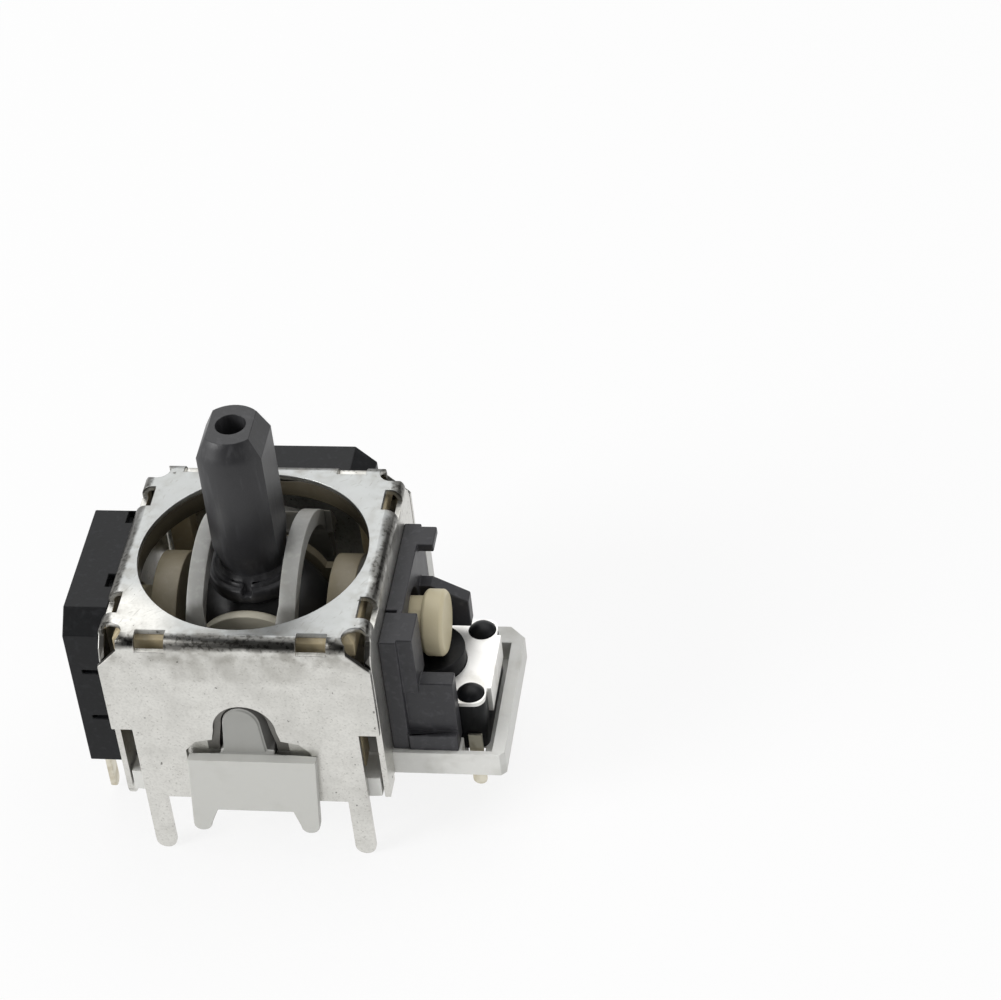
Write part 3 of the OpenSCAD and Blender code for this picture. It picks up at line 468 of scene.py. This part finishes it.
@dataclass(frozen=True)
class PlatedMetal(Finish):
    """Thin plated or drawn metal of the small pieces, with tarnish in soft patches."""

    tarnish_and_dull_reflection: str = "#8A867A"
    tarnish_share: float = 0.5

    def shader(self, tree: bpy.types.NodeTree, place: Socket) -> Node:
        """Metal with tarnish patches and fine drawing marks."""
        patches = noise(tree, place, 0.8, 3.0)
        marks = noise(tree, stretched(tree, place, (1.0, 1.0, 0.15)), 0.1, 2.0)
        share = combine(tree, "MULTIPLY", step_between(tree, patches, 0.45, 0.7), self.tarnish_share)
        return add_node(
            tree,
            "BsdfPrincipled",
            inputs={
                "Base Color": blend_colours(tree, share, linear(self.colour), linear(self.tarnish_and_dull_reflection)),
                "Metallic": 1.0,
                "Roughness": spread(tree, patches, self.roughness - 0.06, self.roughness + 0.12),
                "Normal": bump(tree, marks, 0.003),
            },
        )


TIN = TinnedSheet("pressed_tinned_steel", Slot.TINNED_STEEL, "#DEDDD8", 0.36)
LIGHT_GREY = MouldedPlastic(
    "moulded_light_grey_lcp",
    Slot.LIGHT_GREY,
    "#DDDDD9",
    0.5,
    scuff="#E6E6E2",
    dirt="#ABA99F",
    dirt_share=0.4,
    patches=(
        Patch((-3.8, -7.6, -2.4), (3.9, -6.5, 3.4), "#BEBEB9", 0.75, 0.2),
        # Painted shade on the recessed tongue.
        Patch((-1.9, -6.6, 2.6), (1.9, -6.42, 6.9), "#83837F", 0.8),
        # Painted shade: a near-black colour where the gap behind the tongue lies in shade.
        Patch((-1.9, -6.4, 2.9), (1.9, -5.9, 6.9), "#2E2C28", 0.9, 0.02),
    ),
)
DARK_GREY = MouldedPlastic(
    "moulded_dark_grey_pbt",
    Slot.DARK_GREY,
    "#38383B",
    0.42,
    scuff="#626265",
    dirt="#1E1E20",
    scuff_share=0.25,
    specular=0.3,
)
LEVER_GREY = MouldedPlastic(
    "moulded_lever_grey_pbt",
    Slot.DARK_GREY,
    "#2B2B2D",
    0.4,
    scuff="#5A5A5C",
    dirt="#1F1F20",
    scuff_share=0.25,
    streak=(1.0, 1.0, 0.12),
    specular=0.45,
    # Grease and painted shade on the lever where it sits inside the frame.
    grease_and_shade="#121213",
    grease_and_shade_share=0.8,
    grease_and_shade_top_mm=8.8,
)
SHAFT_BEIGE = MouldedPlastic(
    "moulded_beige_acetal",
    Slot.BEIGE,
    "#BDB59C",
    0.42,
    scuff="#CFC9B6",
    dirt="#7A6A4C",
    scuff_share=0.4,
    # Grease and painted shade on the cross shaft inside the frame.
    grease_and_shade="#40301A",
    grease_and_shade_share=0.6,
    patches=(
        # A warmer tone with painted light: the round end outside the frame is drawn lighter than the shaft.
        Patch((6.9, -4.0, 1.0), (12.0, 4.0, 9.0), "#D6CBAA", 0.85),
        # Painted shade: the round end turns browner towards its bottom.
        Patch((6.9, -4.0, 1.0), (12.0, 4.0, 4.2), "#A9834E", 0.35, 0.9),
        Patch((-2.4, -3.5, 7.8), (2.4, -2.65, 9.5), "#D8D3C2", 0.85, 0.12),
    ),
)
# The ring's bore is painted dark: grease film and painted shade.
RING_BEIGE = MouldedPlastic(
    "moulded_beige_acetal_greased_shaded_bore",
    Slot.BEIGE,
    "#B7A98A",
    0.45,
    scuff="#CFC9B6",
    dirt="#7A6A4C",
    scuff_share=0.3,
    # Grease and painted shade in the ring's bore.
    grease_and_shade="#1E1B15",
    grease_and_shade_share=0.88,
)
MILKY = MilkyAcetal(
    "moulded_milky_acetal",
    Slot.MILKY,
    # Mid grey rather than the acetal's white: painted shade for the parts that sit deep in the frame.
    "#969693",
    0.35,
    scuff="#B4B4B0",
    dirt="#7D7A70",
    scuff_share=0.3,
    # Grease and painted shade on the yoke and plate inside the frame.
    grease_and_shade="#4B4942",
    grease_and_shade_share=0.65,
    grease_and_shade_top_mm=10.0,
)
BLACK = MouldedPlastic(
    "moulded_black_lcp",
    Slot.BLACK,
    "#121315",
    0.42,
    scuff="#303134",
    dirt="#0A0A0B",
    scuff_share=0.3,
    specular=0.22,
)
BOARD = MouldedPlastic("printed_track_laminate", Slot.TRACK_BOARD, "#5B3F28", 0.45, scuff="#2A2522", dirt="#35240F")
STEEL = PlatedMetal("drawn_steel_wire", Slot.STEEL, "#B5B4B0", 0.25)
BRASS = PlatedMetal("stamped_brass", Slot.BRASS, "#C9A864", 0.28, tarnish_and_dull_reflection="#8C6F3C")
TERMINAL_TIN = PlatedMetal("tin_plated_terminal", Slot.TIN_PLATED, "#DCD7C8", 0.38, tarnish_and_dull_reflection="#ABA083")
COVER_TIN = PlatedMetal("bright_tin_cover", Slot.TIN_PLATED, "#F2F1EE", 0.45, tarnish_and_dull_reflection="#D5D3CC")


# Pieces


@dataclass
class CadPiece:
    """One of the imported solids, with its sharp edges rounded and its finish put on."""

    node: str
    finish: Finish
    round_mm: float = 0.05
    sharp_deg: float = 35.0

    def dress(self) -> None:
        """Put the edges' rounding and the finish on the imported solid."""
        self.finish_object(bpy.data.objects[self.node])

    def finish_object(self, solid: bpy.types.Object) -> None:
        """Round the edges by modifiers, which leave the mesh as it is, and set the finish."""
        weld = solid.modifiers.new("join_split_corners", "WELD")
        weld.merge_threshold = 0.0005 * MM
        flat = solid.modifiers.new("one_face_for_each_flat", "DECIMATE")
        flat.decimate_type = "DISSOLVE"
        flat.angle_limit = math.radians(0.4)
        if self.round_mm > 0:
            edge = solid.modifiers.new("rounded_edges", "BEVEL")
            edge.width = self.round_mm * MM
            edge.segments = 2
            edge.limit_method = "ANGLE"
            edge.angle_limit = math.radians(self.sharp_deg)
            edge.use_clamp_overlap = False
            edge.harden_normals = True
        solid.data.materials.clear()
        solid.data.materials.append(self.finish.material())
        LOG.info("dressed %s with %s", self.node, self.finish.name)


@dataclass(frozen=True)
class Shift:
    """A small change of shape: the corners of a solid that lie in a box, and how they move.

    A point's x grows by stretch_x, it leans by lean_x for each millimetre that it lies under the
    box's top, and it moves by the plain move. A coordinate set in to_mm is taken as it is instead.
    The box also stands on the other side of the lever's axis along each mirrored axis.
    """

    low_mm: Point
    high_mm: Point
    move_mm: Point = (0.0, 0.0, 0.0)
    stretch_x: float = 1.0
    lean_x: float = 0.0
    to_mm: tuple[float | None, float | None, float | None] = (None, None, None)
    mirrored: tuple[int, ...] = ()

    def moved(self, at_mm: Vector) -> Vector | None:
        """Give the new place of a point in the box, or nothing for one outside it."""
        at_box = [abs(c) if axis in self.mirrored else c for axis, c in enumerate(at_mm)]
        if any(not low <= c <= high for c, low, high in zip(at_box, self.low_mm, self.high_mm)):
            return None
        x = at_mm.x * self.stretch_x + self.lean_x * (self.high_mm[2] - at_mm.z)
        place = Vector((x, at_mm.y, at_mm.z)) + Vector(self.move_mm)
        return Vector(c if set_to is None else set_to for c, set_to in zip(place, self.to_mm))


@dataclass
class ReshapedPiece(CadPiece):
    """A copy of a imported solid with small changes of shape, which stands in its place."""

    body: str = "housing"
    shifts: Sequence[Shift] = ()

    def dress(self) -> None:
        """Copy the solid's mesh, move its corners, and dress the copy."""
        solid = bpy.data.objects[self.node]
        mesh = solid.data.copy()
        copy = new_object(self.node + "_fitted", mesh)
        for vertex in mesh.vertices:
            for shift in self.shifts:
                place = shift.moved(vertex.co / MM)
                if place is not None:
                    vertex.co = place * MM
                    break
        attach(copy, self.body)
        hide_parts(self.node)
        self.finish_object(copy)


@dataclass
class LeverCollar:
    """The round collar at the lever's foot, which has a notch in front."""

    outer_r_mm: float = 2.32
    inner_r_mm: float = 1.4
    low_mm: float = 9.0
    high_mm: float = 9.78
    edge_mm: float = 0.12
    notch_half_deg: float = 6.0
    notch_mm: float = 0.3
    steps: int = 144

    def build(self) -> None:
        """Turn the collar's outline round the lever's axis and cut the notch."""
        edge = self.edge_mm
        outline = (
            (self.inner_r_mm, self.low_mm - 0.25),
            (self.outer_r_mm - 0.35, self.low_mm - 0.25),
            (self.outer_r_mm - 0.05, self.low_mm),
            (self.outer_r_mm, self.low_mm + edge),
            (self.outer_r_mm, self.high_mm - edge),
            (self.outer_r_mm - 0.3 * edge, self.high_mm - 0.3 * edge),
            (self.outer_r_mm - edge, self.high_mm),
            (self.outer_r_mm - 0.35, self.high_mm + 0.02),
            (self.inner_r_mm + 0.38, self.high_mm + 0.16),
            (self.inner_r_mm + 0.27, self.high_mm + 0.42),
            (self.inner_r_mm, self.high_mm + 0.5),
        )
        points: list[Point] = []
        for i in range(self.steps):
            angle = 2 * math.pi * i / self.steps
            off = abs(math.degrees(angle) - 270.0)
            deep = self.notch_mm if off < self.notch_half_deg else 0.0
            for radius, height in outline:
                cut = deep if height > self.low_mm + 2 * edge and radius > self.inner_r_mm + 0.4 else 0.0
                points.append((radius * math.cos(angle), radius * math.sin(angle), height - cut))
        size = len(outline)
        faces = [
            (i * size + j, ((i + 1) % self.steps) * size + j, ((i + 1) % self.steps) * size + (j + 1) % size, i * size + (j + 1) % size)
            for i in range(self.steps)
            for j in range(size)
        ]
        mesh = mesh_from("lever_collar", points, faces)
        mesh.shade_smooth()
        collar = new_object("lever_collar", mesh)
        collar.modifiers.new("crisp_edges", "EDGE_SPLIT").split_angle = math.radians(50)
        mesh.materials.append(LEVER_GREY.material())
        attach(collar, "stick")
        LOG.info("built lever_collar")


@dataclass
class Stick:
    """The lever that the thumb cap is pushed onto, with the pin that carries it."""

    lever: CadPiece = field(default_factory=lambda: CadPiece("lever", LEVER_GREY, 0.03, 50.0))
    pin: CadPiece = field(default_factory=lambda: CadPiece("lever_pin", STEEL, 0.03))
    collar: LeverCollar = field(default_factory=LeverCollar)

    def build(self) -> None:
        """Dress the lever and its pin, and build its collar."""
        self.lever.dress()
        self.pin.dress()
        self.collar.build()


TONGUE_WALL = Shift((-1.95, -6.7, 3.9), (1.95, -5.9, 6.9), (0.0, 0.0, -0.3), 0.96)
CORNER_OF_WALL = Shift((5.96, 6.28, 8.6), (6.0, 6.62, 9.1), to_mm=(None, None, 9.3), mirrored=(0, 1))
CORNER_OF_SIDE = Shift((6.28, 5.96, 8.6), (6.62, 6.0, 9.1), to_mm=(None, None, 9.3), mirrored=(0, 1))
REAR_WINDOW_OUTSIDE = Shift((3.1, 6.5, 9.5), (4.75, 6.65, 10.05), to_mm=(None, 6.57, 10.05), mirrored=(0,))
REAR_WINDOW_INSIDE = Shift((3.1, 6.2, 9.5), (4.75, 6.35, 10.05), to_mm=(None, 6.222, 10.05), mirrored=(0,))
TONGUE_BACK = Shift((-1.4, -6.4, 0.05), (1.4, -6.05, 6.5), (-0.2, 0.0, -0.4), 0.8)
TONGUE_FRONT = Shift((-1.4, -6.95, 3.6), (1.4, -6.85, 6.5), (-0.2, 0.4, -0.4), 0.8)
TONGUE_FOOT = Shift((-1.4, -6.95, -0.1), (1.4, -6.85, 3.6), (-0.2, 0.4, -0.4), 0.8)
CLIP = Shift((-3.5, -7.2, -1.6), (3.7, -6.55, 3.52), (-0.1, 0.01, -0.42), 1.03, -0.075)

FRAME_SHIFTS = (TONGUE_WALL, CORNER_OF_WALL, CORNER_OF_SIDE, REAR_WINDOW_OUTSIDE, REAR_WINDOW_INSIDE)


@dataclass
class Housing:
    """Everything that is fixed: the frame, the base, the bearing ring and the bracket."""

    pieces: Sequence[CadPiece] = (
        ReshapedPiece("frame", TIN, 0.035, shifts=FRAME_SHIFTS),
        ReshapedPiece("base", LIGHT_GREY, 0.045, 50.0, shifts=(TONGUE_FOOT, CLIP, TONGUE_FRONT, TONGUE_BACK)),
        CadPiece("bearing_ring", RING_BEIGE, 0.05),
        CadPiece("switch_bracket", DARK_GREY, 0.07),
    )

    def build(self) -> None:
        """Dress the fixed solids."""
        for piece in self.pieces:
            piece.dress()


@dataclass
class Gimbal:
    """The cross shaft, the upper yoke, and the plate and spring that centre the lever."""

    pieces: Sequence[CadPiece] = (
        CadPiece("cross_shaft", SHAFT_BEIGE, 0.05),
        CadPiece("upper_yoke", MILKY, 0.04, 50.0),
        CadPiece("centring_plate", MILKY, 0.05),
        CadPiece("centring_spring", STEEL, 0.0),
    )

    def build(self) -> None:
        """Dress the moving solids inside the frame."""
        for piece in self.pieces:
            piece.dress()


@dataclass
class Potentiometer:
    """One of the two rotary potentiometers."""

    side: str

    def build(self) -> None:
        """Dress the housing, track board, rotor, wiper and terminals."""
        finishes = {
            "housing": (BLACK, 0.06),
            "track_board": (BOARD, 0.02),
            "rotor": (BLACK, 0.05),
            "wiper": (BRASS, 0.02),
            "terminal_1": (TERMINAL_TIN, 0.04),
            "terminal_2": (TERMINAL_TIN, 0.04),
            "terminal_3": (TERMINAL_TIN, 0.04),
        }
        for name, (finish, round_mm) in finishes.items():
            CadPiece(f"{self.side}_{name}", finish, round_mm).dress()


@dataclass
class PushSwitch:
    """The push switch under the cross shaft's round end."""

    pieces: Sequence[CadPiece] = (
        CadPiece("switch_body", BLACK, 0.02, 50.0),
        CadPiece("switch_cover", COVER_TIN, 0.0),
        CadPiece("switch_plunger", BLACK, 0.06),
        CadPiece("switch_dome", COVER_TIN, 0.0),
        CadPiece("switch_terminal_1", TERMINAL_TIN, 0.03),
        CadPiece("switch_terminal_2", TERMINAL_TIN, 0.03),
        CadPiece("switch_terminal_3", TERMINAL_TIN, 0.03),
        CadPiece("switch_terminal_4", TERMINAL_TIN, 0.03),
    )

    def build(self) -> None:
        """Dress the switch's solids."""
        for piece in self.pieces:
            piece.dress()


# Stage


@dataclass
class Stage:
    """The white floor and world, the dark card that the bends mirror, and the lamps."""

    floor_z_mm: float = -3.6
    floor_half_mm: float = 1500.0
    card_r_mm: float = 600.0
    card_half_mm: float = 600.0
    card_from_deg: float = -2.0
    card_to_deg: float = 96.0
    side_card_from_deg: float = 22.0
    side_card_to_deg: float = 80.0
    side_card_low_mm: float = -20.0
    side_card_high_mm: float = 300.0
    sky_low: float = 0.72
    sky_high: float = 0.25

    def build(self) -> None:
        """Build the stage."""
        self.floor()
        self.front_card()
        self.side_card()
        self.world()
        self.softbox("softbox_high", (40.0, 160.0, 520.0), 620.0, 1.5)
        self.softbox("softbox_left", (-420.0, -260.0, 260.0), 240.0, 1.8)

    def seen_by_eye_or_mirror(self, tree: bpy.types.NodeTree) -> Socket:
        """Give 1 for camera, glossy and transmission rays and 0 for the rest."""
        rays = add_node(tree, "LightPath").outputs
        share = combine(tree, "MAXIMUM", rays["Is Camera Ray"], rays["Is Glossy Ray"])
        return combine(tree, "MAXIMUM", share, rays["Is Transmission Ray"])

    def floor(self) -> None:
        """Lay a white floor that keeps a soft shadow."""
        h = self.floor_half_mm
        z = self.floor_z_mm
        mesh = mesh_from("floor", [(-h, -h, z), (h, -h, z), (h, h, z), (-h, h, z)], [(0, 1, 2, 3)])
        floor = new_object("floor", mesh)
        paper = bpy.data.materials.new("white_paper_floor")
        paper.use_nodes = True
        tree = paper.node_tree
        tree.nodes.clear()
        lit = add_node(tree, "BsdfDiffuse", inputs={"Color": linear("#F4F4F4")})
        glow = add_node(tree, "Emission", inputs={"Color": (1.0, 1.0, 1.0, 1.0), "Strength": 1.0})
        share = combine(tree, "MULTIPLY", self.seen_by_eye_or_mirror(tree), 0.84)
        both = add_node(tree, "MixShader", inputs={0: share, 1: lit.outputs[0], 2: glow.outputs[0]})
        add_node(tree, "OutputMaterial", inputs={"Surface": both.outputs[0]})
        mesh.materials.append(paper)

    def front_card(self) -> None:
        """Hang a dark curved card above the camera's side."""
        steps = 16
        points: list[Point] = []
        for i in range(steps + 1):
            angle = math.radians(self.card_from_deg + (self.card_to_deg - self.card_from_deg) * i / steps)
            y, z = -self.card_r_mm * math.cos(angle), self.card_r_mm * math.sin(angle)
            points += [(-self.card_half_mm, y, z), (self.card_half_mm, y, z)]
        self.card("front_card", points)

    def side_card(self) -> None:
        """Stand a dark curved card behind the switch's side."""
        steps = 12
        points: list[Point] = []
        for i in range(steps + 1):
            angle = math.radians(
                self.side_card_from_deg + (self.side_card_to_deg - self.side_card_from_deg) * i / steps
            )
            x, y = self.card_r_mm * math.sin(angle), self.card_r_mm * math.cos(angle)
            points += [(x, y, self.side_card_low_mm), (x, y, self.side_card_high_mm)]
        self.card("side_card", points)

    def card(self, name: str, points: Sequence[Point]) -> None:
        """Make a dark card that only mirror-like surfaces see.

        Args:
            name: The card's name.
            points: Its points, two for each step along it.
        """
        faces = [(2 * i, 2 * i + 1, 2 * i + 3, 2 * i + 2) for i in range(len(points) // 2 - 1)]
        mesh = mesh_from(name, points, faces)
        card = new_object(name, mesh)
        black = bpy.data.materials.new(name + "_black")
        black.use_nodes = True
        tree = black.node_tree
        tree.nodes.clear()
        dull = add_node(tree, "BsdfDiffuse", inputs={"Color": linear("#1A1A1A")})
        add_node(tree, "OutputMaterial", inputs={"Surface": dull.outputs[0]})
        mesh.materials.append(black)
        card.visible_camera = False
        card.visible_diffuse = False
        card.visible_shadow = False
        card.visible_transmission = False

    def world(self) -> None:
        """Fill the scene with even light, and show white where nothing stands."""
        world = bpy.data.worlds.new("studio")
        bpy.context.scene.world = world
        world.use_nodes = True
        tree = world.node_tree
        tree.nodes.clear()
        white = (1.0, 1.0, 1.0, 1.0)
        way = add_node(tree, "TexCoord").outputs["Generated"]
        height = combine(tree, "ABSOLUTE", add_node(tree, "SeparateXYZ", inputs={0: way}).outputs[2], 0.0)
        glow = spread(tree, height, self.sky_low, self.sky_high)
        light = add_node(tree, "Background", inputs={"Color": white, "Strength": glow})
        shown = add_node(tree, "Background", inputs={"Color": white, "Strength": 1.0})
        share = self.seen_by_eye_or_mirror(tree)
        both = add_node(tree, "MixShader", inputs={0: share, 1: light.outputs[0], 2: shown.outputs[0]})
        add_node(tree, "OutputWorld", inputs={"Surface": both.outputs[0]})

    def softbox(self, name: str, at_mm: Point, size_mm: float, watts: float) -> None:
        """Hang a square area lamp that faces the module.

        Args:
            name: The lamp's name.
            at_mm: Where it hangs.
            size_mm: Its width.
            watts: Its power.
        """
        data = bpy.data.lights.new(name, "AREA")
        data.size = size_mm * MM
        data.energy = watts
        lamp = bpy.data.objects.new(name, data)
        bpy.context.scene.collection.objects.link(lamp)
        lamp.location = Vector(at_mm) * MM
        target = Vector((0.0, 0.0, 6.0)) * MM
        lamp.rotation_euler = (target - lamp.location).to_track_quat("-Z", "Y").to_euler()


@dataclass
class Camera:
    """The camera, solved from the photograph's own perspective."""

    yaw_deg: float = 11.46
    pitch_deg: float = 40.19
    roll_deg: float = -6.50
    at_mm: Point = (35.619, -114.453, 112.560)
    focal_px: float = 3245.0
    frame_px: float = 1001.0
    sensor_mm: float = 36.0

    def build(self) -> None:
        """Place the camera and make it the scene's."""
        yaw, pitch, roll = (math.radians(a) for a in (self.yaw_deg, self.pitch_deg, self.roll_deg))
        back = Vector((math.sin(yaw) * math.cos(pitch), -math.cos(yaw) * math.cos(pitch), math.sin(pitch)))
        level = Vector((math.cos(yaw), math.sin(yaw), 0.0))
        upright = back.cross(level)
        right = math.cos(roll) * level + math.sin(roll) * upright
        up = -math.sin(roll) * level + math.cos(roll) * upright
        data = bpy.data.cameras.new("camera")
        data.sensor_width = self.sensor_mm
        data.lens = self.focal_px * self.sensor_mm / self.frame_px
        data.clip_start = 0.001
        data.clip_end = 10.0
        camera = bpy.data.objects.new("camera", data)
        bpy.context.scene.collection.objects.link(camera)
        axes = Matrix((right, up, back)).transposed().to_4x4()
        camera.matrix_world = Matrix.Translation(Vector(self.at_mm) * MM) @ axes
        bpy.context.scene.camera = camera


def main() -> None:
    """Load the frame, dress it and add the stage."""
    logging.basicConfig(level=logging.INFO, format="%(message)s")
    random.seed(RANDOM_SEED)
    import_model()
    for part in (Housing(), Gimbal(), Stick(), Potentiometer("left"), Potentiometer("rear"), PushSwitch()):
        part.build()
        LOG.info("built %s", type(part).__name__)
    Stage().build()
    Camera().build()
    bpy.context.scene.view_settings.view_transform = "Standard"


if __name__ == "__main__":
    main()
